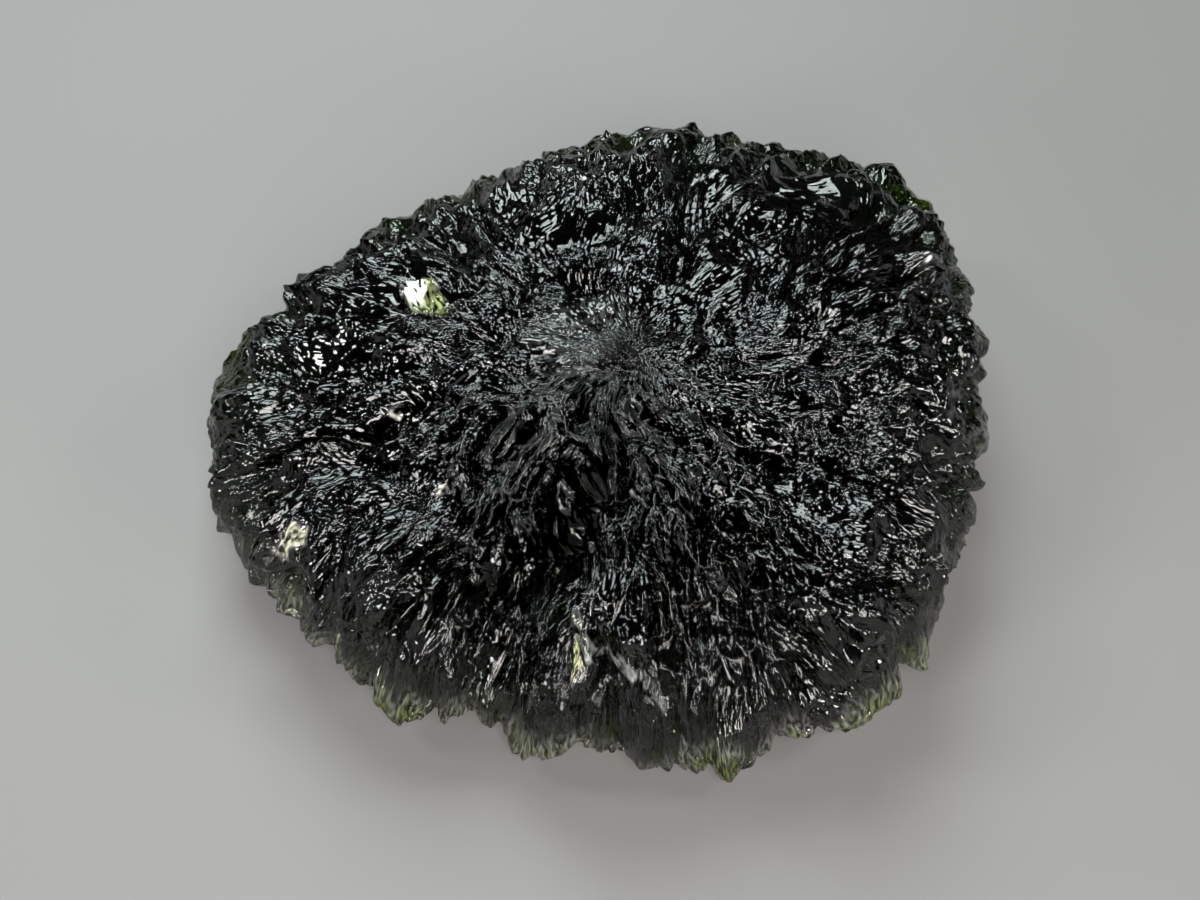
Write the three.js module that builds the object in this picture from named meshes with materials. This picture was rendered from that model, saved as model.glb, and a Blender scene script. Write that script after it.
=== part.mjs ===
// A moldavite: one piece of natural glass, a domed disc etched all over into furrows and scale-like lobes
// that run outwards from one spot near its crown. Millimetres, +Z up, resting face at z = 0.

import * as THREE from "three";

// Body. Directions are degrees round the stone, from +X towards +Y, counted at the crown.
const HEIGHT = 11.5;
const CROWN_X = 0.3;
const CROWN_Y = -3.3;
const FOOT_RADIUS = 4.4;
const FOOT_HUB = [0.9, 0.5];
const DOME_FULLNESS = 0.92;
const BELLY_SPREAD = 1.1;
const BELLY_RISE = 0.8;

// Crown to rim, and rim over the ground, every 15 degrees from +X.
const RIM_REACH = [
  15.5, 17.7, 19.3, 23.4, 22.3, 21.5, 21.6, 19.4, 19.2, 17.5, 17.9, 18.4,
  17.2, 16.0, 14.6, 13.6, 12.5, 11.9, 12.8, 12.6, 13.7, 15.0, 14.6, 15.1,
];
const RIM_HEIGHT = [
  3.8, 3.9, 4.1, 4.3, 4.4, 4.4, 4.3, 4.1, 4.0, 4.0, 3.9, 3.8,
  3.6, 3.4, 3.1, 2.9, 2.8, 2.8, 2.8, 2.9, 3.0, 3.2, 3.4, 3.6,
];
const MEAN_REACH = 18.0;

// The way down the stone from the crown grows by this for each radian of tilt, more near crown and foot.
const WAY_PER_TILT = 13.2;
const WAY_SWING = 2.6;

// Scale-like lobes: rows of them from the crown over the rim, broad ones with small ones on them, each with a
// raised outer end. Pairs of values are for the first row, near the crown, and for the last, beyond the rim.
const BROAD_LOBES = {
  rows: 7,
  first: 5.0,
  step: 2.9,
  widths: [2.0, 4.4],
  lengths: [2.6, 5.6],
  heights: [0.4, 1.5],
  drop: 0.8,
  seed: 1,
};
const SMALL_LOBES = {
  rows: 15,
  first: 3.0,
  step: 1.4,
  widths: [0.8, 1.5],
  lengths: [1.0, 2.6],
  heights: [0.2, 0.85],
  drop: 0.35,
  seed: 71,
};
const ROW_SHIFT = 0.37;
const LOBE_LEAN = 0.3;
const LOBES_BACK_AND_FRONT = [0.95, 1.35];

// One lobe's own place, half-width and height as shares of its row's; then how blunt its section is across,
// how far its end is rounded back at the sides, and how high up its rise the end is cut.
const LOBE_STRAY = 0.6;
const LOBE_HALF_WIDTH = [0.5, 0.85];
const LOBE_OWN_HEIGHT = [0.25, 1.1];
const LOBE_BLUNTNESS = 0.8;
const LOBE_ROUNDED_END = 0.3;
const LOBE_CREST = 1.1;

// How far the sculptured surface is let down into the smooth body, on the top and on the belly.
const TOP_DATUM = 1.0;
const BELLY_DATUM = 0.1;

// Broad swells, the wander of the flow, furrows between sharp crests, and lumps with no direction.
const SWELL = { size: 7.0, height: 0.9, seed: 11 };
const WANDER = [
  { size: 4.6, height: 1.8, seed: 5 },
  { size: 1.7, height: 0.7, seed: 8 },
];
const CREST_LEVEL = 0.6;
const FURROWS = [
  { around: 28, length: 4.6, height: 0.6, fromWay: 2.5, seed: 21 },
  { around: 76, length: 4.2, height: 0.8, fromWay: 6.0, seed: 22 },
];
const GRAIN = [
  { size: 2.3, height: 0.5, seed: 51 },
  { size: 1.1, height: 0.3, seed: 52 },
];

// Round pits in the belly, one in each square cell of the plan, with the least and greatest sizes of a pit.
const PIT_CELL = 3.6;
const PIT_MIDDLE = [0.25, 0.75];
const PIT_RADIUS = [0.3, 0.65];
const PIT_DEPTH = [0.24, 0.8];
const PIT_SEED = 61;

// Tilts over which the top's own relief ends, the pits begin, and all relief fades at the crown and the foot.
const TOP_ENDS = [1.5, 1.9];
const PITS_BEGIN = [1.7, 2.1];
const CROWN_FADE = [0, 0.06];
const FOOT_FADE = [2.5, 3.05];

// Rim: big scallops and the small teeth on them, hanging lowest at the front.
const SCALLOPS = { around: 26, reach: [0.35, 0.7], seed: 31 };
const TEETH = { around: 64, reach: [0.17, 0.35], seed: 41 };
const POINT_UNEVENNESS = 0.3;
const POINT_BLUNTNESS = 0.3;
const POINTS_BACK_AND_FRONT = [0.7, 1.2];
const TEETH_TILT = 1.6;
const RIM_BAND = 0.22;
const RIM_CALM = 0.4;
const TOOTH_DROOP = 0.6;

// Least height over the ground, as a share of the smooth body's.
const LEAST_CLEARANCE = 0.35;

// Deep valleys: places as [direction, share of the way to the rim], then half-width and depth.
const VALLEYS = [
  { name: "front gully", path: [[262, 0.48], [254, 0.82]], half: 1.1, depth: 2.2 },
  { name: "front cleft", path: [[264, 0.9], [269, 0.97]], half: 0.7, depth: 0.9 },
  { name: "right gully", path: [[299, 0.82], [303, 0.95]], half: 0.8, depth: 1.2 },
  { name: "left shelf", path: [[232, 0.82], [248, 0.9]], half: 0.7, depth: 1.0 },
  { name: "right shelf", path: [[281, 0.86], [287, 0.9]], half: 0.6, depth: 0.8 },
  { name: "back groove", path: [[64, 0.3], [76, 0.85]], half: 0.6, depth: 1.0 },
  { name: "knob moat", path: [[82, 0.62], [100, 0.36]], half: 0.55, depth: 0.9 },
  { name: "knob moat foot", path: [[118, 0.34], [96, 0.26]], half: 0.55, depth: 0.8 },
  { name: "back right gully", path: [[41, 0.58], [46, 0.92]], half: 0.9, depth: 1.1 },
  { name: "right groove", path: [[24, 0.5], [20, 0.9]], half: 0.5, depth: 0.7 },
  { name: "left pit", path: [[170, 0.6], [171, 0.75]], half: 0.7, depth: 0.9 },
  { name: "left groove", path: [[186, 0.42], [197, 0.72]], half: 0.6, depth: 0.8 },
  { name: "fresh chip", path: [[149, 0.5], [151, 0.57]], half: 0.75, depth: 0.5 },
];

// Single lumps: place, half-length along the flow, half-width across it, height; then how steep they are.
const LUMPS = [
  { name: "lens knob", at: [93, 0.5], along: 2.0, across: 1.3, height: 0.9 },
  { name: "front tongue", at: [271, 0.83], along: 2.2, across: 1.6, height: 1.3 },
  { name: "left front lobe", at: [246, 0.76], along: 1.5, across: 1.3, height: 0.9 },
  { name: "front left crest", at: [222, 0.9], along: 1.3, across: 1.3, height: 0.9 },
  { name: "right crest", at: [328, 0.77], along: 1.0, across: 2.0, height: 0.9 },
  { name: "right rim crest", at: [335, 0.88], along: 0.9, across: 1.7, height: 0.8 },
  { name: "front right lump", at: [306, 0.82], along: 1.6, across: 1.1, height: 0.8 },
  { name: "corner crest", at: [316, 0.88], along: 1.2, across: 1.4, height: 0.8 },
  { name: "clear knob", at: [32, 0.86], along: 0.7, across: 0.6, height: 0.7 },
  { name: "peg", at: [232, 0.97], along: 1.6, across: 0.55, height: 1.2 },
];
const LUMP_STEEPNESS = 1.5;

// Points round the stone, the tilt at which each band of rings begins, and rings in the band.
const RING_BANDS = [
  { around: 48, from: 0.07, rings: 4 },
  { around: 96, from: 0.32, rings: 8 },
  { around: 192, from: 0.72, rings: 14 },
  { around: 96, from: 1.84, rings: 9 },
  { around: 48, from: 2.7, rings: 4 },
];

const TURN = 2 * Math.PI;
const QUARTER = TURN / 4;
const RIM_TILT = QUARTER;
const FOOT_TILT = 2 * QUARTER;

// Short step of direction and tilt from which slopes are read.
const SLOPE_STEP = 0.01;

const mix = (a, b, t) => a + (b - a) * t;

function ramp(low, high, value) {
  const t = Math.min(1, Math.max(0, (value - low) / (high - low)));
  return t * t * (3 - 2 * t);
}

// A repeatable number from 0 to 1 for each whole-number place.
function scatter(i, j, k) {
  const wave = Math.sin(i * 12.9898 + j * 78.233 + k * 37.719) * 43758.5453;
  return wave - Math.floor(wave);
}

// A smooth closed curve through evenly spaced values, read at any direction.
function roundCurve(values, phi) {
  const n = values.length;
  const place = (((phi / TURN) % 1) + 1) % 1 * n;
  const i = Math.floor(place);
  const f = place - i;
  const [a, b, c, d] = [-1, 0, 1, 2].map((step) => values[(i + step + n) % n]);
  return b + 0.5 * f * (c - a + f * (2 * a - 5 * b + 4 * c - d + f * (3 * (b - c) + d - a)));
}

// Millimetres along the surface from the crown: a straight rise with tilt plus a sine of twice the tilt.
const wayDown = (tilt) => WAY_PER_TILT * tilt + WAY_SWING * Math.sin(2 * tilt);

// Scattered values at the corners of a cell, blended across it.
function blendCell(u, v, valueAt) {
  const i = Math.floor(u);
  const j = Math.floor(v);
  const fu = ramp(0, 1, u - i);
  const near = mix(valueAt(i, j), valueAt(i + 1, j), fu);
  const far = mix(valueAt(i, j + 1), valueAt(i + 1, j + 1), fu);
  return mix(near, far, ramp(0, 1, v - j));
}

// Lumps with no direction: smooth noise over the unrolled surface in square cells, half of it below nought.
function grain(flat, { size, height, seed }) {
  return height * (blendCell(flat.x / size, flat.y / size, (i, j) => scatter(i, j, seed)) - 0.5);
}

// Direction and way after the unrolled surface is pulled about by two grains, one for each of its axes.
function wandered(flat) {
  let { x, y } = flat;
  for (const { size, height, seed } of WANDER) {
    x += grain(flat, { size, height, seed });
    y += grain(flat, { size, height, seed: seed + 1 });
  }
  return { bent: (Math.atan2(y, x) + TURN) % TURN, bentWay: Math.hypot(x, y) };
}

// Furrows are round valleys between sharp crests: one less twice the distance of a smooth noise from a half.
// The noise closes on itself round the stone, in cells wide round it and long down it.
function furrow(phi, way, { around, length, height, fromWay, seed }) {
  const noise = blendCell((phi / TURN) * around, way / length, (i, j) => scatter(i % around, j, seed));
  const crest = 1 - Math.abs(2 * noise - 1);
  return height * (crest - CREST_LEVEL) * ramp(fromWay, 2 * fromWay, way);
}

// The tallest of the lobes that cover a place. A lobe rises outwards to a rounded end and drops off there.
function lobes(phi, way, { rows, first, step, widths, lengths, heights, drop, seed }) {
  let tallest = 0;
  for (let row = 0; row < rows; row += 1) {
    const rowWay = first + row * step;
    const outwards = row / (rows - 1);
    const length = mix(...lengths, outwards);
    const count = Math.round((TURN * Math.min(rowWay, MEAN_REACH)) / mix(...widths, outwards));
    const u = (phi / TURN) * count + ROW_SHIFT * row;
    for (let i = Math.floor(u) - 1; i <= Math.floor(u) + 1; i += 1) {
      const wrapped = ((i % count) + count) % count;
      const middle = i + 0.5 + LOBE_STRAY * (scatter(wrapped, row, seed) - 0.5);
      const half = mix(...LOBE_HALF_WIDTH, scatter(wrapped, row, seed + 1));
      const end = rowWay + step * (scatter(wrapped, row, seed + 2) - 0.5);
      const across = Math.min(1, Math.abs(u - middle) / half);
      const behind = end - way - LOBE_ROUNDED_END * length * across * across;
      const section = Math.pow(1 - across * across, LOBE_BLUNTNESS);
      const rise = Math.sin(QUARTER * THREE.MathUtils.clamp(LOBE_CREST - behind / length, 0, 1));
      const fall = THREE.MathUtils.clamp(1 + behind / drop, 0, 1);
      const height = mix(...heights, outwards) * mix(...LOBE_OWN_HEIGHT, scatter(wrapped, row, seed + 3));
      tallest = Math.max(tallest, height * section * (behind > 0 ? rise : fall));
    }
  }
  return tallest;
}

// Seen from above, the place that lies a share of the way from the crown to the rim.
function planPoint(phi, share) {
  const reach = roundCurve(RIM_REACH, phi) * share;
  return new THREE.Vector2(reach * Math.cos(phi), reach * Math.sin(phi));
}

const placed = ([degrees, share]) => planPoint(THREE.MathUtils.degToRad(degrees), share);

// How deep the valleys are under a place: a rounded trench about each straight path.
function valleyDepth(plan) {
  let deepest = 0;
  for (const { path, half, depth } of VALLEYS) {
    const start = placed(path[0]);
    const run = placed(path[1]).sub(start);
    const along = THREE.MathUtils.clamp(plan.clone().sub(start).dot(run) / run.lengthSq(), 0, 1);
    const away = plan.distanceTo(start.addScaledVector(run, along)) / half;
    deepest = Math.max(deepest, depth * Math.exp(-away * away));
  }
  return deepest;
}

// How high the single lumps stand: each an oval mound, its long way along the flow.
function lumpHeight(plan) {
  let height = 0;
  for (const { at, along, across, height: top } of LUMPS) {
    const middle = placed(at);
    const flow = middle.clone().normalize();
    const offset = plan.clone().sub(middle);
    const lengthways = offset.dot(flow) / along;
    const sideways = offset.cross(flow) / across;
    height += top * Math.exp(-Math.pow(lengthways * lengthways + sideways * sideways, LUMP_STEEPNESS));
  }
  return height;
}

// How deep the belly's pits are over a place: a dish of its own size and depth near the middle of each cell.
function pitDepth(plan) {
  let deepest = 0;
  const u = plan.x / PIT_CELL;
  const v = plan.y / PIT_CELL;
  for (let i = Math.floor(u) - 1; i <= Math.floor(u) + 1; i += 1) {
    for (let j = Math.floor(v) - 1; j <= Math.floor(v) + 1; j += 1) {
      const x = i + mix(...PIT_MIDDLE, scatter(i, j, PIT_SEED));
      const y = j + mix(...PIT_MIDDLE, scatter(i, j, PIT_SEED + 1));
      const away = Math.hypot(u - x, v - y) / mix(...PIT_RADIUS, scatter(i, j, PIT_SEED + 2));
      deepest = Math.max(deepest, mix(...PIT_DEPTH, scatter(i, j, PIT_SEED + 3)) * (1 - away * away));
    }
  }
  return deepest;
}

// Scallops and teeth: blunt points of uneven width, a low power of a half sine in each cell round the rim.
function rimPoints(phi, { around, reach, seed }) {
  const wrapped = (i) => ((i % around) + around) % around;
  const border = (i) => i + POINT_UNEVENNESS * scatter(wrapped(i), 0, seed);
  const u = (phi / TURN) * around;
  const cell = u < border(Math.floor(u)) ? Math.floor(u) - 1 : Math.floor(u);
  const inside = Math.sin((Math.PI * (u - border(cell))) / (border(cell + 1) - border(cell)));
  return mix(...reach, scatter(wrapped(cell), 1, seed)) * Math.pow(Math.max(0, inside), POINT_BLUNTNESS);
}

// The smooth body: a dome from crown to rim, then a shallow belly from rim to the resting face.
function bodyPoint(phi, tilt) {
  const reach = roundCurve(RIM_REACH, phi);
  const rimHeight = roundCurve(RIM_HEIGHT, phi);
  const rim = new THREE.Vector3(CROWN_X + reach * Math.cos(phi), CROWN_Y + reach * Math.sin(phi), rimHeight);
  if (tilt <= RIM_TILT) {
    const share = Math.sin(tilt);
    const rise = (HEIGHT - rimHeight) * Math.pow(Math.cos(tilt), DOME_FULLNESS);
    return new THREE.Vector3(mix(CROWN_X, rim.x, share), mix(CROWN_Y, rim.y, share), rimHeight + rise);
  }
  const under = Math.min(tilt, FOOT_TILT) - RIM_TILT;
  const foot = FOOT_RADIUS / Math.hypot(rim.x, rim.y);
  const share = mix(foot, 1, Math.pow(Math.cos(under), BELLY_SPREAD));
  const height = rimHeight * Math.pow(1 - Math.sin(under), BELLY_RISE);
  return new THREE.Vector3(rim.x * share, rim.y * share, height);
}

// Outward normal and downhill direction of the smooth body, from the differences of near points.
function bodyDirections(phi, tilt) {
  const roundwards = bodyPoint(phi + SLOPE_STEP, tilt).sub(bodyPoint(phi - SLOPE_STEP, tilt));
  const downhill = bodyPoint(phi, tilt + SLOPE_STEP).sub(bodyPoint(phi, tilt - SLOPE_STEP));
  const normal = downhill.clone().cross(roundwards).normalize();
  return { normal, downhill: downhill.normalize() };
}

// The sculptured surface: the body, its relief along the normal, lobes leaning downhill, rim points outwards.
function stonePoint(phi, tilt) {
  const smooth = bodyPoint(phi, tilt);
  const { normal, downhill } = bodyDirections(phi, tilt);
  const way = wayDown(tilt);
  const plan = planPoint(phi, Math.sin(tilt));
  const onTop = 1 - ramp(...TOP_ENDS, tilt);
  const sculptured = (1 - ramp(...FOOT_FADE, tilt)) * ramp(...CROWN_FADE, tilt);
  const frontness = 0.5 - 0.5 * Math.sin(phi);
  const flat = new THREE.Vector2(way * Math.cos(phi), way * Math.sin(phi));
  const { bent, bentWay } = wandered(flat);
  const everyLobe = lobes(bent, bentWay, BROAD_LOBES) + lobes(bent, bentWay, SMALL_LOBES);
  const scales = everyLobe * mix(...LOBES_BACK_AND_FRONT, frontness);
  const furrows = FURROWS.reduce((sum, family) => sum + furrow(bent, bentWay, family), 0);
  const lumps = [SWELL, ...GRAIN].reduce((sum, family) => sum + grain(flat, family), 0);
  const single = (lumpHeight(plan) - valleyDepth(plan)) * onTop;
  const pits = pitDepth(plan) * ramp(...PITS_BEGIN, tilt);
  const band = Math.exp(-Math.pow((tilt - TEETH_TILT) / RIM_BAND, 2));
  const freeRelief = furrows + lumps + scales + single - pits - mix(BELLY_DATUM, TOP_DATUM, onTop);
  const relief = freeRelief * (1 - RIM_CALM * band);
  const teeth = rimPoints(phi, SCALLOPS) + rimPoints(phi, TEETH);
  const points = teeth * band * mix(...POINTS_BACK_AND_FRONT, frontness);
  const point = smooth.clone().addScaledVector(normal, relief * sculptured);
  point.addScaledVector(downhill, LOBE_LEAN * scales * sculptured * onTop);
  point.x += points * Math.cos(phi);
  point.y += points * Math.sin(phi);
  point.z -= points * TOOTH_DROOP * frontness;
  point.z = Math.max(point.z, LEAST_CLEARANCE * smooth.z);
  return point;
}

// Every ring from the crown to the edge of the resting face: its tilt, and how many points it has.
function ringList() {
  return RING_BANDS.flatMap(({ around, from, rings }, k) => {
    const isLast = k + 1 === RING_BANDS.length;
    const until = isLast ? FOOT_TILT : RING_BANDS[k + 1].from;
    const steps = isLast ? rings - 1 : rings;
    return Array.from({ length: rings }, (_, r) => ({ around, tilt: mix(from, until, r / steps) }));
  });
}

// Joins two rings, whose counts are equal or one twice the other, with faces outwards.
function joinRings(faces, upper, lower) {
  const ratio = lower.around / upper.around;
  const steps = Math.min(upper.around, lower.around);
  for (let i = 0; i < steps; i += 1) {
    const next = (i + 1) % steps;
    if (ratio === 1) {
      faces.push(upper.first + i, lower.first + i, lower.first + next);
      faces.push(upper.first + i, lower.first + next, upper.first + next);
    } else if (ratio === 2) {
      const middle = lower.first + 2 * i + 1;
      faces.push(upper.first + i, lower.first + 2 * i, middle);
      faces.push(upper.first + i, middle, upper.first + next);
      faces.push(upper.first + next, middle, lower.first + 2 * next);
    } else {
      const middle = upper.first + 2 * i + 1;
      faces.push(upper.first + 2 * i, lower.first + i, middle);
      faces.push(middle, lower.first + i, lower.first + next);
      faces.push(middle, lower.first + next, upper.first + 2 * next);
    }
  }
}

function stoneGeometry() {
  const points = [bodyPoint(0, 0)];
  const rings = ringList();
  for (const ring of rings) {
    ring.first = points.length;
    for (let i = 0; i < ring.around; i += 1) points.push(stonePoint((i / ring.around) * TURN, ring.tilt));
  }
  const hub = points.length;
  points.push(new THREE.Vector3(...FOOT_HUB, 0));
  const faces = [];
  const [top] = rings;
  const bottom = rings[rings.length - 1];
  for (let i = 0; i < top.around; i += 1) faces.push(0, top.first + i, top.first + ((i + 1) % top.around));
  for (let r = 0; r + 1 < rings.length; r += 1) joinRings(faces, rings[r], rings[r + 1]);
  for (let i = 0; i < bottom.around; i += 1) {
    faces.push(hub, bottom.first + ((i + 1) % bottom.around), bottom.first + i);
  }
  const geometry = new THREE.BufferGeometry().setFromPoints(points);
  geometry.setIndex(faces);
  geometry.computeVertexNormals();
  return geometry;
}

const darkGreenGlass = new THREE.MeshStandardMaterial({ color: 0x1b2a1c, roughness: 0.25, metalness: 0 });
const stone = new THREE.Mesh(stoneGeometry(), darkGreenGlass);
stone.name = "moldavite";

const group = new THREE.Group();
group.add(stone);

export default group;
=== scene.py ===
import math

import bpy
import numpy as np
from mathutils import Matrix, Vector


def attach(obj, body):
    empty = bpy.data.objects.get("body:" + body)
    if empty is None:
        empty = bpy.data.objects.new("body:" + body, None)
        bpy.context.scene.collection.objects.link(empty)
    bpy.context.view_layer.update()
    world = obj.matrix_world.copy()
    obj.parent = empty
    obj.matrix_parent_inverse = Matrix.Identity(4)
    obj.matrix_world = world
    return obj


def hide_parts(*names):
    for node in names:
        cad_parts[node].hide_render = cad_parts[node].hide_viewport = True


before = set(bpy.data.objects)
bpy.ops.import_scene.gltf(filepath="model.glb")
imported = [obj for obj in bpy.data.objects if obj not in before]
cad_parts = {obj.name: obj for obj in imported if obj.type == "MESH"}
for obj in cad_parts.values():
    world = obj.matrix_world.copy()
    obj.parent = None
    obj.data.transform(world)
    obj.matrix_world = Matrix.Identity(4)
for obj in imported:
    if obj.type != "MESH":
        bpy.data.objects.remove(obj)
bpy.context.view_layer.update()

# A moldavite on a pale floor: one piece of natural glass, a domed disc etched all over into furrows and
# scale-like lobes that run outwards from one spot near its crown. The stone's surface is worked out in
# millimetres and put into its mesh in metres.

MM = 0.001
TURN = 2 * math.pi
QUARTER = TURN / 4
RIM_TILT = QUARTER
FOOT_TILT = 2 * QUARTER
SLOPE_STEP = 0.01

# Scattered numbers: what each whole number adds to a sine's angle, and what the sine is multiplied by.
SCATTER_ANGLES = (12.9898, 78.233, 37.719)
SCATTER_REACH = 43758.5453

# Body. Directions are degrees round the stone, from +X towards +Y, counted at the crown.
HEIGHT = 11.5
CROWN = np.array([0.3, -3.3])
FOOT_RADIUS = 4.4
FOOT_HUB = [0.9, 0.5, 0.0]
DOME_FULLNESS = 0.92
BELLY_SPREAD = 1.1
BELLY_RISE = 0.8

# Crown to rim, and rim over the ground, every 15 degrees from +X.
RIM_REACH = [
    15.5, 17.7, 19.3, 23.4, 22.3, 21.5, 21.6, 19.4, 19.2, 17.5, 17.9, 18.4,
    17.2, 16.0, 14.6, 13.6, 12.5, 11.9, 12.8, 12.6, 13.7, 15.0, 14.6, 15.1,
]
RIM_HEIGHT = [
    3.8, 3.9, 4.1, 4.3, 4.4, 4.4, 4.3, 4.1, 4.0, 4.0, 3.9, 3.8,
    3.6, 3.4, 3.1, 2.9, 2.8, 2.8, 2.8, 2.9, 3.0, 3.2, 3.4, 3.6,
]
MEAN_REACH = 18.0

# The way down the stone from the crown grows by this for each radian of tilt, more near crown and foot.
WAY_PER_TILT = 13.2
WAY_SWING = 2.6

# Scale-like lobes: rows of them from the crown over the rim, broad ones with small ones on them, each with
# a raised outer end. Pairs of values are for the first row, near the crown, and the last, beyond the rim.
BROAD_LOBES = {
    "rows": 7, "first": 5.0, "step": 2.9, "widths": (2.0, 4.4), "lengths": (2.6, 5.6),
    "heights": (0.4, 1.5), "drop": 0.8, "seed": 1,
}
SMALL_LOBES = {
    "rows": 15, "first": 3.0, "step": 1.4, "widths": (0.8, 1.5), "lengths": (1.0, 2.6),
    "heights": (0.2, 0.85), "drop": 0.35, "seed": 71,
}
ROW_SHIFT = 0.37
LOBE_LEAN = 0.3
LOBES_BACK_AND_FRONT = (0.95, 1.35)

# One lobe's own place, half-width and height as shares of its row's; then how blunt its section is across,
# how far its end is rounded back at the sides, and how high up its rise the end is cut.
LOBE_STRAY = 0.6
LOBE_HALF_WIDTH = (0.5, 0.85)
LOBE_OWN_HEIGHT = (0.25, 1.1)
LOBE_BLUNTNESS = 0.8
LOBE_ROUNDED_END = 0.3
LOBE_CREST = 1.1

# How far the sculptured surface is let down into the smooth body, on the top and on the belly.
TOP_DATUM = 1.0
BELLY_DATUM = 0.1

# Broad swells, the wander of the flow, furrows between sharp crests, and lumps with no direction.
SWELL = {"size": 7.0, "height": 0.9, "seed": 11}
WANDER = [
    {"size": 4.6, "height": 1.8, "seed": 5},
    {"size": 1.7, "height": 0.7, "seed": 8},
]
CREST_LEVEL = 0.6
FURROWS = [
    {"around": 28, "length": 4.6, "height": 0.6, "from_way": 2.5, "seed": 21},
    {"around": 76, "length": 4.2, "height": 0.8, "from_way": 6.0, "seed": 22},
    {"around": 150, "length": 1.1, "height": 0.4, "from_way": 5.0, "seed": 23},
    {"around": 300, "length": 0.6, "height": 0.24, "from_way": 9.0, "seed": 24},
]
GRAIN = [
    {"size": 2.3, "height": 0.5, "seed": 51},
    {"size": 1.1, "height": 0.3, "seed": 52},
    {"size": 0.5, "height": 0.3, "seed": 53},
]

# Round pits in the belly, one in each square cell of the plan: the cell in millimetres, then the least and
# greatest place of a pit's middle, radius and depth, the first two as shares of the cell.
PIT_CELL = 3.6
PIT_MIDDLE = (0.25, 0.75)
PIT_RADIUS = (0.3, 0.65)
PIT_DEPTH = (0.24, 0.8)
PIT_SEED = 61

# Tilts over which the top's own relief ends, the pits begin, and all relief fades at the crown and the foot.
TOP_ENDS = (1.5, 1.9)
PITS_BEGIN = (1.7, 2.1)
CROWN_FADE = (0, 0.06)
FOOT_FADE = (2.5, 3.05)

# Rim: big scallops and the small teeth on them, hanging lowest at the front.
SCALLOPS = {"around": 26, "reach": (0.35, 0.7), "seed": 31}
TEETH = {"around": 64, "reach": (0.17, 0.35), "seed": 41}
POINT_UNEVENNESS = 0.3
POINT_BLUNTNESS = 0.3
POINTS_BACK_AND_FRONT = (0.7, 1.2)
TEETH_TILT = 1.6
RIM_BAND = 0.22
RIM_CALM = 0.4
TOOTH_DROOP = 0.6

# Least height over the ground, as a share of the smooth body's.
LEAST_CLEARANCE = 0.35

# Deep valleys: places as (direction, share of the way to the rim), then half-width and depth.
VALLEYS = [
    ("front gully", (262, 0.48), (254, 0.82), 1.1, 2.2),
    ("front cleft", (264, 0.9), (269, 0.97), 0.7, 0.9),
    ("right gully", (299, 0.82), (303, 0.95), 0.8, 1.2),
    ("left shelf", (232, 0.82), (248, 0.9), 0.7, 1.0),
    ("right shelf", (281, 0.86), (287, 0.9), 0.6, 0.8),
    ("back groove", (64, 0.3), (76, 0.85), 0.6, 1.0),
    ("knob moat", (82, 0.62), (100, 0.36), 0.55, 0.9),
    ("knob moat foot", (118, 0.34), (96, 0.26), 0.55, 0.8),
    ("back right gully", (41, 0.58), (46, 0.92), 0.9, 1.1),
    ("right groove", (24, 0.5), (20, 0.9), 0.5, 0.7),
    ("left pit", (170, 0.6), (171, 0.75), 0.7, 0.9),
    ("left groove", (186, 0.42), (197, 0.72), 0.6, 0.8),
    ("fresh chip", (149, 0.5), (151, 0.57), 0.75, 0.5),
]

# Single lumps: place, half-length along the flow, half-width across it, height; then how steep they are.
LUMPS = [
    ("lens knob", (93, 0.5), 2.0, 1.3, 0.9),
    ("front tongue", (271, 0.83), 2.2, 1.6, 1.3),
    ("left front lobe", (246, 0.76), 1.5, 1.3, 0.9),
    ("front left crest", (222, 0.9), 1.3, 1.3, 0.9),
    ("right crest", (328, 0.77), 1.0, 2.0, 0.9),
    ("right rim crest", (335, 0.88), 0.9, 1.7, 0.8),
    ("front right lump", (306, 0.82), 1.6, 1.1, 0.8),
    ("corner crest", (316, 0.88), 1.2, 1.4, 0.8),
    ("clear knob", (32, 0.86), 0.7, 0.6, 0.7),
    ("peg", (232, 0.97), 1.6, 0.55, 1.2),
]
LUMP_STEEPNESS = 1.5

# Marks in the glass's surface, and two painted highlights that stand for glints on the knobs: the line each
# lies along, half-width in millimetres, how frosted or how strongly painted before the dashes speckle it, and
# colour.
MARKS_AND_PAINTED_GLINTS = [
    ("foot of the chip", (147, 0.57), (150, 0.51), 0.8, 0.4, (0.36, 0.44, 0.16)),
    ("fresh chip", (145, 0.61), (147, 0.6), 0.45, 2.0, (0.75, 0.85, 0.78)),
    ("worn crown", (140, 0.16), (150, 0.1), 1.2, 0.08, (0.42, 0.5, 0.52)),
    ("worn crown's side", (100, 0.16), (90, 0.12), 0.8, 0.06, (0.42, 0.5, 0.52)),
    ("left chip", (204, 0.92), (206, 0.9), 0.3, 0.6, (0.5, 0.52, 0.36)),
    ("yellow chip", (265, 0.92), (264, 0.89), 0.2, 0.6, (0.42, 0.44, 0.22)),
    ("left speck", (189, 0.57), (190, 0.58), 0.12, 0.8, (0.6, 0.62, 0.52)),
    ("middle speck", (220, 0.64), (220, 0.65), 0.12, 0.7, (0.6, 0.6, 0.52)),
    # The two knob glints below are painted highlights: pale patches that stand for glints, not marks in the
    # glass.
    ("knob glint", (96, 0.61), (95, 0.6), 0.16, 1.0, (0.75, 0.92, 0.96)),
    ("clear knob glint", (32, 0.85), (33, 0.84), 0.14, 0.9, (0.7, 0.82, 0.85)),
    ("tongue edge", (265, 0.82), (268, 0.89), 0.09, 0.35, (0.36, 0.4, 0.38)),
    ("tongue edge's foot", (268, 0.89), (278, 0.97), 0.09, 0.35, (0.36, 0.4, 0.38)),
]

# The edge of a mark or painted highlight: how fast it fades outwards, its strength at the half-width, and how
# ragged it is.
PATCH_FADE = 1.5
PATCH_EDGE = 0.5
PATCH_RAGGEDNESS = {"size": 0.35, "height": 1.6, "seed": 91}

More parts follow.
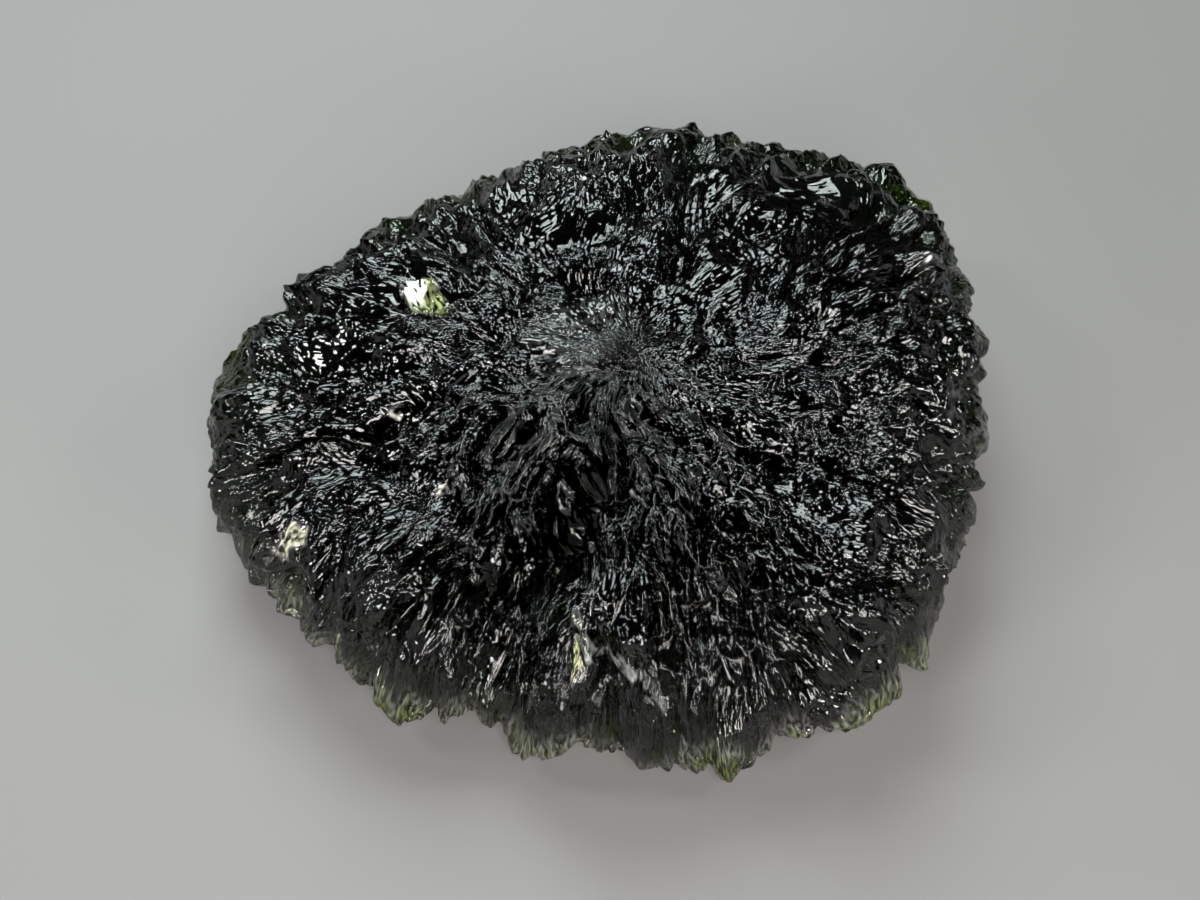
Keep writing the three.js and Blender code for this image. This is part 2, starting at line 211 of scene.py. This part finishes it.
# Tips of the rim's teeth: the reach over which their skin turns olive, its colour and frosting.
TOOTH_TIP = (0.5, 1.05)
TOOTH_COLOUR = (0.2, 0.27, 0.04)
TOOTH_FROST = 0.24

# Relief over which the surface goes from a smooth valley to a crest grained with dashes, the dashes'
# strength in a valley, and the tilts over which full strength everywhere ends at the crown and begins at
# the rim.
RAISED = (-0.9, 0.3)
VALLEY_DASHES = 0.45
CROWN_GRAINED = (0.4, 0.65)
RIM_GRAINED = (1.1, 1.35)

# Points round the stone, by the tilt at which each band of rings begins, and rings in the band.
RING_BANDS = [
    (256, 0.02, 24),
    (512, 0.26, 26),
    (1024, 0.56, 62),
    (512, 1.78, 22),
    (256, 2.4, 16),
]

# Glass: its surface, and what it absorbs.
GLASS_IOR = 1.49
GLASS_ROUGHNESS = 0.03
FROST_ROUGHNESS = 0.5
ABSORPTION_COLOUR = (0.467, 0.567, 0.067, 1)
ABSORPTION_DENSITY = 1800

# Dashes: their size, and the way down at which their first band of cells is true to it.
DASH_WIDTH = 0.14
DASH_LENGTH = 0.25
DASH_HEIGHT = 0.15
FIRST_DASH_WAY = 2.6
DASH_BANDS = 5

# How strongly the dashes speckle the frosting, about its mean.
SPECKLE_CONTRAST = 3.5

# Camera: height over the ground in degrees, distance, aim and nearest sight in metres, lens and sensor in
# millimetres.
CAMERA_ELEVATION = 48
CAMERA_DISTANCE = 0.0755
CAMERA_AIM = (-0.00025, -0.003, 0.005)
CAMERA_NEAREST = 0.001
CAMERA_LENS = 50
CAMERA_SENSOR = 36

# Floor: half its side in metres, and its surface.
FLOOR_HALF = 1.5
FLOOR_COLOUR = (0.15, 0.15, 0.15, 1)
FLOOR_ROUGHNESS = 0.6

# Lamps: name, place, width and length in metres, power in watts, and colour; then the point they look at.
LAMPS = [
    ("cool_key", (-0.05, 0.19, 0.24), 0.18, 0.18, 1.2, (0.87, 0.98, 0.95)),
    ("warm_front", (0.03, -0.21, 0.17), 0.11, 0.2, 1.2, (1.0, 0.93, 0.89)),
    ("left_spark", (-0.2, 0.03, 0.2), 0.06, 0.06, 0.21, (0.97, 0.98, 1.0)),
    ("right_spark", (0.22, 0.0, 0.18), 0.05, 0.05, 0.17, (1.0, 0.97, 0.94)),
    ("low_left_spark", (-0.17, -0.17, 0.08), 0.07, 0.05, 0.42, (1.0, 0.96, 0.92)),
    ("low_right_spark", (0.17, -0.17, 0.08), 0.07, 0.05, 0.36, (1.0, 0.96, 0.92)),
]
LAMP_AIM = (0, 0, 0.005)

# Dim light from all round.
SURROUND_COLOUR = (0.9, 0.95, 1.0, 1)
SURROUND_STRENGTH = 0.03


def mix(a, b, t):
    """From a at t = 0 to b at t = 1, in a straight line."""
    return a + (b - a) * t


def ramp(low, high, value):
    """Nought below low, one above high, and a smooth step between, 3t squared less 2t cubed."""
    t = np.clip((value - low) / (high - low), 0, 1)
    return t * t * (3 - 2 * t)


def scatter(i, j, k):
    """A repeatable number from 0 to 1 for whole numbers: the fraction of a large multiple of a sine."""
    by_i, by_j, by_k = SCATTER_ANGLES
    wave = np.sin(i * by_i + j * by_j + k * by_k) * SCATTER_REACH
    return wave - np.floor(wave)


def round_curve(values, phi):
    """A smooth closed curve through evenly spaced values: the cubic through each two that follows the slope
    between their neighbours."""
    values = np.asarray(values, float)
    place = (phi / TURN) % 1 * len(values)
    i = np.floor(place).astype(int)
    f = place - i
    a, b, c, d = (values[(i + step) % len(values)] for step in (-1, 0, 1, 2))
    return b + 0.5 * f * (c - a + f * (2 * a - 5 * b + 4 * c - d + f * (3 * (b - c) + d - a)))


def way_down(tilt):
    """Millimetres along the surface from the crown: it rises with the tilt and a sine of twice the tilt."""
    return WAY_PER_TILT * tilt + WAY_SWING * np.sin(2 * tilt)


def cell_noise(phi, way, around, length, seed):
    """Smooth noise from 0 to 1 that closes on itself round the stone: scattered values at the corners of
    cells, blended across them."""
    u = phi / TURN * around
    v = way / length
    i = np.floor(u)
    j = np.floor(v)
    fu = ramp(0, 1, u - i)
    fv = ramp(0, 1, v - j)

    def corner(di, dj):
        return scatter((i + di) % around, j + dj, seed)

    return mix(mix(corner(0, 0), corner(1, 0), fu), mix(corner(0, 1), corner(1, 1), fu), fv)


def furrow(phi, way, around, length, height, from_way, seed):
    """Round valleys between sharp crests: one less twice the noise's distance from a half. They fade in at
    some way from the crown, because nearer to it they would be too fine."""
    crest = 1 - np.abs(2 * cell_noise(phi, way, around, length, seed) - 1)
    return height * (crest - CREST_LEVEL) * ramp(from_way, 2 * from_way, way)


def unrolled(phi, way):
    """The surface laid out flat about the crown: the way down as a radius, in the same direction."""
    return np.stack([way * np.cos(phi), way * np.sin(phi)], -1)


def grain(flat, size, height, seed):
    """Lumps with no direction: smooth noise over the unrolled surface, scattered values at the corners of
    square cells blended across them, from half the height below nought to half above."""
    u, v = flat.T / size
    i = np.floor(u)
    j = np.floor(v)
    fu = ramp(0, 1, u - i)
    fv = ramp(0, 1, v - j)
    low = mix(scatter(i, j, seed), scatter(i + 1, j, seed), fu)
    high = mix(scatter(i, j + 1, seed), scatter(i + 1, j + 1, seed), fu)
    return height * (mix(low, high, fv) - 0.5)


def wandered(phi, way):
    """Direction and way after the unrolled surface is pulled about along both its axes by grains."""
    flat = unrolled(phi, way)
    pulled = flat.copy()
    for pull in WANDER:
        for axis in (0, 1):
            pulled[:, axis] += grain(flat, pull["size"], pull["height"], pull["seed"] + axis)
    return np.arctan2(pulled[:, 1], pulled[:, 0]) % TURN, np.hypot(pulled[:, 0], pulled[:, 1])


def lobes(phi, way, rows, first, step, widths, lengths, heights, drop, seed):
    """The tallest of the lobes that cover a place. A lobe rises outwards, as a sine, to a rounded end and
    drops off there."""
    tallest = np.zeros_like(phi)
    for row in range(rows):
        row_way = first + row * step
        outwards = row / (rows - 1)
        length = mix(*lengths, outwards)
        count = round(TURN * min(row_way, MEAN_REACH) / mix(*widths, outwards))
        u = phi / TURN * count + ROW_SHIFT * row
        for side in (-1, 0, 1):
            i = np.floor(u) + side
            wrapped = i % count
            middle = i + 0.5 + LOBE_STRAY * (scatter(wrapped, row, seed) - 0.5)
            half = mix(*LOBE_HALF_WIDTH, scatter(wrapped, row, seed + 1))
            end = row_way + step * (scatter(wrapped, row, seed + 2) - 0.5)
            across = np.minimum(np.abs(u - middle) / half, 1)
            behind = end - way - LOBE_ROUNDED_END * length * across * across
            section = (1 - across * across) ** LOBE_BLUNTNESS
            rise = np.sin(QUARTER * np.clip(LOBE_CREST - behind / length, 0, 1))
            fall = np.clip(1 + behind / drop, 0, 1)
            height = mix(*heights, outwards) * mix(*LOBE_OWN_HEIGHT, scatter(wrapped, row, seed + 3))
            tallest = np.maximum(tallest, height * section * np.where(behind > 0, rise, fall))
    return tallest


def plan_point(phi, share):
    """Seen from above, the place a share of the way from the crown to the rim."""
    reach = round_curve(RIM_REACH, phi) * share
    return np.stack([reach * np.cos(phi), reach * np.sin(phi)], -1)


def placed(at):
    """The plan point of a (direction in degrees, share) pair."""
    return plan_point(np.array(math.radians(at[0])), at[1])


def path_distance(plan, start_at, end_at):
    """Distance in plan from a straight path: to the nearest point of it, or of its ends."""
    start = placed(start_at)
    run = placed(end_at) - start
    along = np.clip((plan - start) @ run / (run @ run), 0, 1)
    return np.linalg.norm(plan - start - along[:, None] * run, axis=1)


def valley_depth(plan):
    """How deep the valleys are under a place: a bell-shaped trench about each straight path."""
    deepest = np.zeros(len(plan))
    for name, start_at, end_at, half, depth in VALLEYS:
        away = path_distance(plan, start_at, end_at) / half
        deepest = np.maximum(deepest, depth * np.exp(-away * away))
    return deepest


def lump_height(plan):
    """How high the single lumps stand: each an oval bell, its long way along the flow."""
    height = np.zeros(len(plan))
    for name, at, along, across, top in LUMPS:
        middle = placed(at)
        flow = middle / np.linalg.norm(middle)
        offset = plan - middle
        lengthways = offset @ flow / along
        sideways = (offset[:, 0] * flow[1] - offset[:, 1] * flow[0]) / across
        height += top * np.exp(-((lengthways**2 + sideways**2) ** LUMP_STEEPNESS))
    return height


def pit_depth(plan):
    """How deep the belly's pits are over a place: in each cell a dish, one less the square of the distance
    from its middle, of its own size and depth."""
    deepest = np.zeros(len(plan))
    u, v = plan.T / PIT_CELL
    for step_x in (-1, 0, 1):
        for step_y in (-1, 0, 1):
            i = np.floor(u) + step_x
            j = np.floor(v) + step_y
            x = i + mix(*PIT_MIDDLE, scatter(i, j, PIT_SEED))
            y = j + mix(*PIT_MIDDLE, scatter(i, j, PIT_SEED + 1))
            away = np.hypot(u - x, v - y) / mix(*PIT_RADIUS, scatter(i, j, PIT_SEED + 2))
            depth = mix(*PIT_DEPTH, scatter(i, j, PIT_SEED + 3))
            deepest = np.maximum(deepest, depth * (1 - away * away))
    return deepest


def marks_and_painted_glints(plan, flat):
    """Colour and frosting of the surface, painted highlights included: white and clear but for the marks and
    the two painted glints on the knobs, each a ragged patch about a line."""
    colour = np.ones((len(plan), 3))
    frost_and_glint = np.zeros(len(plan))
    ragged = grain(flat, **PATCH_RAGGEDNESS)
    for name, start_at, end_at, half, strength, tint in MARKS_AND_PAINTED_GLINTS:
        away = path_distance(plan, start_at, end_at) / half
        share = ramp(0, 1, PATCH_FADE * (1 - away) + PATCH_EDGE + ragged)
        colour += share[:, None] * (np.array(tint) - colour)
        frost_and_glint = mix(frost_and_glint, strength, share)
    return colour, frost_and_glint


def rim_points(phi, around, reach, seed):
    """Scallops or teeth: blunt points of uneven width, a low power of half a sine in each cell round the
    rim."""
    u = phi / TURN * around

    def border(i):
        return i + POINT_UNEVENNESS * scatter(i % around, 0, seed)

    cell = np.floor(u)
    cell = np.where(u < border(cell), cell - 1, cell)
    inside = np.sin(np.pi * (u - border(cell)) / (border(cell + 1) - border(cell)))
    return mix(*reach, scatter(cell % around, 1, seed)) * np.clip(inside, 0, 1) ** POINT_BLUNTNESS


def body_point(phi, tilt):
    """The smooth body: a dome from crown to rim, the sine and cosine of the tilt as reach and rise, then a
    shallow belly from the rim to the edge of the resting face."""
    reach = round_curve(RIM_REACH, phi)
    rim_height = round_curve(RIM_HEIGHT, phi)
    rim = np.stack([CROWN[0] + reach * np.cos(phi), CROWN[1] + reach * np.sin(phi)], -1)
    over = np.minimum(tilt, RIM_TILT)
    top_plan = CROWN + (rim - CROWN) * np.sin(over)[:, None]
    top_height = rim_height + (HEIGHT - rim_height) * np.clip(np.cos(over), 0, 1) ** DOME_FULLNESS
    under = np.clip(tilt, RIM_TILT, FOOT_TILT) - RIM_TILT
    foot = FOOT_RADIUS / np.linalg.norm(rim, axis=1)
    share = mix(foot, 1, np.clip(np.cos(under), 0, 1) ** BELLY_SPREAD)
    belly_plan = rim * share[:, None]
    belly_height = rim_height * np.clip(1 - np.sin(under), 0, 1) ** BELLY_RISE
    is_top = tilt <= RIM_TILT
    plan = np.where(is_top[:, None], top_plan, belly_plan)
    return np.column_stack([plan, np.where(is_top, top_height, belly_height)])


def body_directions(phi, tilt):
    """Outward normal and downhill direction of the smooth body, from the differences of near points."""
    roundwards = body_point(phi + SLOPE_STEP, tilt) - body_point(phi - SLOPE_STEP, tilt)
    downwards = body_point(phi, tilt + SLOPE_STEP) - body_point(phi, tilt - SLOPE_STEP)
    normal = np.cross(downwards, roundwards)
    normal /= np.linalg.norm(normal, axis=1)[:, None]
    downwards /= np.linalg.norm(downwards, axis=1)[:, None]
    return normal, downwards


def skin_at(plan, flat, on_top, points):
    """Colour and frosting of a place: the marks and painted glints, which lie on the top alone, and the tips
    of the teeth.
    """
    colour, frost_and_glint = marks_and_painted_glints(plan, flat)
    frost_and_glint *= on_top
    colour = mix(1, colour, on_top[:, None])
    tip = ramp(*TOOTH_TIP, points)
    colour = mix(colour, np.array(TOOTH_COLOUR), tip[:, None])
    frost_and_glint = mix(frost_and_glint, TOOTH_FROST, tip)
    return np.column_stack([colour, frost_and_glint])


def stone_surface(phi, tilt):
    """The sculptured surface: the body, its relief along the normal, lobes leaning downhill and rim points
    outwards. Beside each place it gives the flow there (the direction as a unit circle, and the way down),
    the skin's colour and frosting with its painted highlights, and how raised and so how grained the place
    is."""
    smooth = body_point(phi, tilt)
    normal, downhill = body_directions(phi, tilt)
    way = way_down(tilt)
    plan = plan_point(phi, np.sin(tilt))
    on_top = 1 - ramp(*TOP_ENDS, tilt)
    sculptured = (1 - ramp(*FOOT_FADE, tilt)) * ramp(*CROWN_FADE, tilt)
    frontness = 0.5 - 0.5 * np.sin(phi)
    bent, bent_way = wandered(phi, way)
    scales = lobes(bent, bent_way, **BROAD_LOBES) + lobes(bent, bent_way, **SMALL_LOBES)
    scales *= mix(*LOBES_BACK_AND_FRONT, frontness)
    flat = unrolled(phi, way)
    relief = scales + grain(flat, **SWELL) - mix(BELLY_DATUM, TOP_DATUM, on_top)
    relief += sum(furrow(bent, bent_way, **family) for family in FURROWS)
    relief += sum(grain(flat, **family) for family in GRAIN)
    relief += (lump_height(plan) - valley_depth(plan)) * on_top
    grained = 1 - ramp(*CROWN_GRAINED, tilt) + ramp(*RIM_GRAINED, tilt)
    raised = np.maximum(ramp(*RAISED, relief), grained)
    relief -= pit_depth(plan) * ramp(*PITS_BEGIN, tilt)
    band = np.exp(-(((tilt - TEETH_TILT) / RIM_BAND) ** 2))
    relief *= 1 - RIM_CALM * band
    points = (rim_points(phi, **SCALLOPS) + rim_points(phi, **TEETH)) * band
    points *= mix(*POINTS_BACK_AND_FRONT, frontness)
    place = smooth + normal * (relief * sculptured)[:, None]
    place += downhill * (LOBE_LEAN * scales * sculptured * on_top)[:, None]
    place[:, 0] += points * np.cos(phi)
    place[:, 1] += points * np.sin(phi)
    place[:, 2] -= points * TOOTH_DROOP * frontness
    place[:, 2] = np.maximum(place[:, 2], LEAST_CLEARANCE * smooth[:, 2])
    flow = np.column_stack([np.cos(bent), np.sin(bent), bent_way])
    return place, flow, skin_at(plan, flat, on_top, points), raised


def ring_list():
    """(points round, tilt) of every ring from the crown to the edge of the resting face, evenly spaced in
    each band."""
    rings = []
    for k, (around, start, count) in enumerate(RING_BANDS):
        last = k + 1 == len(RING_BANDS)
        until = FOOT_TILT if last else RING_BANDS[k + 1][1]
        steps = count - 1 if last else count
        rings += [(around, mix(start, until, r / steps)) for r in range(count)]
    return rings


def ring_faces(upper, upper_count, lower, lower_count):
    """Triangles between two rings of equal counts, or with one count twice the other, faces outwards."""
    if upper_count == lower_count:
        i = np.arange(upper_count)
        n = (i + 1) % upper_count
        return np.vstack([
            np.column_stack([upper + i, lower + i, lower + n]),
            np.column_stack([upper + i, lower + n, upper + n]),
        ])
    i = np.arange(min(upper_count, lower_count))
    n = (i + 1) % len(i)
    if lower_count > upper_count:
        middle = lower + 2 * i + 1
        return np.vstack([
            np.column_stack([upper + i, lower + 2 * i, middle]),
            np.column_stack([upper + i, middle, upper + n]),
            np.column_stack([upper + n, middle, lower + 2 * n]),
        ])
    middle = upper + 2 * i + 1
    return np.vstack([
        np.column_stack([upper + 2 * i, lower + i, middle]),
        np.column_stack([middle, lower + i, lower + n]),
        np.column_stack([middle, lower + n, upper + 2 * n]),
    ])


def stone_faces(counts):
    """Triangles of the whole stone: a fan about the crown, the strips between the rings, and a fan about the
    middle of the resting face. The crown is point 0, and the rings' points follow in order."""
    first = 1 + np.concatenate([[0], np.cumsum(counts)])
    hub = first[-1]
    faces = []
    i = np.arange(counts[0])
    faces.append(np.column_stack([0 * i, first[0] + i, first[0] + (i + 1) % counts[0]]))
    for r in range(len(counts) - 1):
        faces.append(ring_faces(first[r], counts[r], first[r + 1], counts[r + 1]))
    i = np.arange(counts[-1])
    faces.append(np.column_stack([hub + 0 * i, first[-2] + (i + 1) % counts[-1], first[-2] + i]))
    return np.vstack(faces)


def stone_mesh():
    """The closed mesh of the stone, with its flow, skin (painted highlights included) and raised parts as
    attributes for the glass.
    """
    rings = ring_list()
    phi = np.concatenate([np.arange(around) / around * TURN for around, level in rings])
    tilt = np.concatenate([np.full(around, level) for around, level in rings])
    surface, flow, skin, raised = stone_surface(phi, tilt)
    crown = body_point(np.array([0.0]), np.array([0.0]))
    points = np.vstack([crown, surface, [FOOT_HUB]])
    faces = stone_faces(np.array([around for around, level in rings]))
    mesh = bpy.data.meshes.new("moldavite_stone")
    mesh.vertices.add(len(points))
    mesh.vertices.foreach_set("co", (points * MM).astype(np.float32).ravel())
    mesh.loops.add(faces.size)
    mesh.loops.foreach_set("vertex_index", faces.astype(np.int32).ravel())
    mesh.polygons.add(len(faces))
    mesh.polygons.foreach_set("loop_start", np.arange(0, faces.size, 3, dtype=np.int32))
    mesh.update(calc_edges=True)
    mesh.polygons.foreach_set("use_smooth", np.ones(len(faces), dtype=bool))
    flow = np.vstack([(1, 0, 0), flow, (1, 0, way_down(FOOT_TILT))]).astype(np.float32)
    mesh.attributes.new("flow", "FLOAT_VECTOR", "POINT").data.foreach_set("vector", flow.ravel())
    skin = np.vstack([skin[:1], skin, skin[-1:]]).astype(np.float32)
    mesh.attributes.new("skin", "FLOAT_COLOR", "POINT").data.foreach_set("color", skin.ravel())
    raised = np.concatenate([[1], raised, [1]]).astype(np.float32)
    mesh.attributes.new("raised", "FLOAT", "POINT").data.foreach_set("value", raised)
    return mesh


def add_node(tree, kind, **values):
    """A new shader node with its plain properties and its sockets' constant values set."""
    node = tree.nodes.new(kind)
    for name, value in values.items():
        if name in node.inputs:
            node.inputs[name].default_value = value
        else:
            setattr(node, name, value)
    return node


def calculate(tree, operation, *operands):
    """The output of a math node whose operands are numbers or other nodes' outputs."""
    node = tree.nodes.new("ShaderNodeMath")
    node.operation = operation
    for socket, operand in zip(node.inputs, operands):
        if isinstance(operand, bpy.types.NodeSocket):
            tree.links.new(operand, socket)
        else:
            socket.default_value = operand
    return node.outputs[0]


def dash_height(tree, flow):
    """Short dashes along the flow, all of about one size: noise in cells that are so wide round the stone and
    so long down it. Each band has twice as many cells round as the band above, and two bands blend between
    the ways that they are true at."""
    separate = add_node(tree, "ShaderNodeSeparateXYZ")
    tree.links.new(flow, separate.inputs[0])
    way_down_flow = calculate(tree, "MAXIMUM", separate.outputs["Z"], FIRST_DASH_WAY)
    doublings = calculate(tree, "LOGARITHM", way_down_flow, 2.0)
    total = 0.0
    for band in range(DASH_BANDS):
        way = FIRST_DASH_WAY * 2**band
        stretch = add_node(tree, "ShaderNodeVectorMath", operation="MULTIPLY")
        stretch.inputs[1].default_value = (way / DASH_WIDTH, way / DASH_WIDTH, 1 / DASH_LENGTH)
        tree.links.new(flow, stretch.inputs[0])
        noise = add_node(tree, "ShaderNodeTexNoise", Scale=1.0, Detail=0.0)
        tree.links.new(stretch.outputs[0], noise.inputs["Vector"])
        away = calculate(tree, "ABSOLUTE", calculate(tree, "SUBTRACT", doublings, math.log2(way)))
        share = calculate(tree, "MAXIMUM", calculate(tree, "SUBTRACT", 1.0, away), 0.0)
        total = calculate(tree, "MULTIPLY_ADD", noise.outputs["Fac"], share, total)
    return total


def moldavite_glass():
    """Deep green natural glass: clear, darkened by what it absorbs, and grained with fine dashes along the
    flow. The dashes also speckle the frosting of the marks, the painted highlights and the teeth."""
    material = bpy.data.materials.new("moldavite_glass")
    material.use_nodes = True
    tree = material.node_tree
    link = tree.links.new
    glass = tree.nodes["Principled BSDF"]
    output = tree.nodes["Material Output"]
    glass.inputs["IOR"].default_value = GLASS_IOR
    absorption = add_node(tree, "ShaderNodeVolumeAbsorption")
    absorption.inputs["Color"].default_value = ABSORPTION_COLOUR
    absorption.inputs["Density"].default_value = ABSORPTION_DENSITY
    link(absorption.outputs["Volume"], output.inputs["Volume"])
    flow = add_node(tree, "ShaderNodeAttribute", attribute_name="flow").outputs["Vector"]
    grained = dash_height(tree, flow)
    skin = add_node(tree, "ShaderNodeAttribute", attribute_name="skin")
    # The skin's colour carries the painted highlights on the knobs as well as the marks and the teeth.
    link(skin.outputs["Color"], glass.inputs["Base Color"])
    speckle = calculate(tree, "MULTIPLY_ADD", grained, SPECKLE_CONTRAST, 0.5 - 0.5 * SPECKLE_CONTRAST)
    frost_and_glint = calculate(tree, "MULTIPLY", skin.outputs["Alpha"], calculate(tree, "MAXIMUM", speckle, 0.0))
    frost_and_glint = calculate(tree, "MINIMUM", frost_and_glint, 1.0)
    link(calculate(tree, "SUBTRACT", 1.0, frost_and_glint), glass.inputs["Transmission Weight"])
    frosted = calculate(tree, "MULTIPLY_ADD", frost_and_glint, FROST_ROUGHNESS - GLASS_ROUGHNESS, GLASS_ROUGHNESS)
    link(frosted, glass.inputs["Roughness"])
    bump = add_node(tree, "ShaderNodeBump", Strength=1.0, Distance=DASH_HEIGHT * MM)
    raised = add_node(tree, "ShaderNodeAttribute", attribute_name="raised").outputs["Fac"]
    dashes = calculate(tree, "MULTIPLY_ADD", raised, 1 - VALLEY_DASHES, VALLEY_DASHES)
    link(calculate(tree, "MULTIPLY", grained, dashes), bump.inputs["Height"])
    link(bump.outputs["Normal"], glass.inputs["Normal"])
    return material


def make_stone():
    """The stone stands for the CAD solid that carries it."""
    mesh = stone_mesh()
    mesh.materials.append(moldavite_glass())
    stone = bpy.data.objects.new("moldavite_stone", mesh)
    bpy.context.scene.collection.objects.link(stone)
    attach(stone, "root")
    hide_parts("moldavite")


def make_floor():
    """A plain pale floor, level with the resting face."""
    corners = [(x * FLOOR_HALF, y * FLOOR_HALF, 0) for x, y in ((-1, -1), (1, -1), (1, 1), (-1, 1))]
    mesh = bpy.data.meshes.new("floor")
    mesh.from_pydata(corners, [], [(0, 1, 2, 3)])
    material = bpy.data.materials.new("pale_floor")
    material.use_nodes = True
    surface = material.node_tree.nodes["Principled BSDF"]
    surface.inputs["Base Color"].default_value = FLOOR_COLOUR
    surface.inputs["Roughness"].default_value = FLOOR_ROUGHNESS
    mesh.materials.append(material)
    floor = bpy.data.objects.new("floor", mesh)
    bpy.context.scene.collection.objects.link(floor)


def aim(thing, target):
    """Turns a camera or lamp so that it looks at a point."""
    thing.rotation_euler = (Vector(target) - thing.location).to_track_quat("-Z", "Y").to_euler()


def make_camera():
    """The photograph's view: from the front, looking down at an angle."""
    camera = bpy.data.objects.new("camera", bpy.data.cameras.new("camera"))
    camera.data.lens = CAMERA_LENS
    camera.data.sensor_width = CAMERA_SENSOR
    camera.data.clip_start = CAMERA_NEAREST
    rise = math.radians(CAMERA_ELEVATION)
    camera.location = (
        CAMERA_AIM[0],
        CAMERA_AIM[1] - CAMERA_DISTANCE * math.cos(rise),
        CAMERA_AIM[2] + CAMERA_DISTANCE * math.sin(rise),
    )
    aim(camera, CAMERA_AIM)
    bpy.context.scene.collection.objects.link(camera)
    bpy.context.scene.camera = camera


def make_lamp(name, place, width, length, power, colour):
    """A rectangular lamp that looks at the stone."""
    lamp = bpy.data.objects.new(name, bpy.data.lights.new(name, "AREA"))
    lamp.data.shape = "RECTANGLE"
    lamp.data.size = width
    lamp.data.size_y = length
    lamp.data.energy = power
    lamp.data.color = colour
    lamp.location = place
    aim(lamp, LAMP_AIM)
    bpy.context.scene.collection.objects.link(lamp)


def make_lights():
    """A broad cool lamp behind and above, a tall warm one before the front, four small bright ones that pick
    out the crests at the sides, and a dim surround."""
    for lamp in LAMPS:
        make_lamp(*lamp)
    world = bpy.data.worlds.new("surround")
    world.use_nodes = True
    background = world.node_tree.nodes["Background"]
    background.inputs["Color"].default_value = SURROUND_COLOUR
    background.inputs["Strength"].default_value = SURROUND_STRENGTH
    bpy.context.scene.world = world


bpy.context.scene.view_settings.view_transform = "Standard"

make_camera()
make_stone()
make_floor()
make_lights()
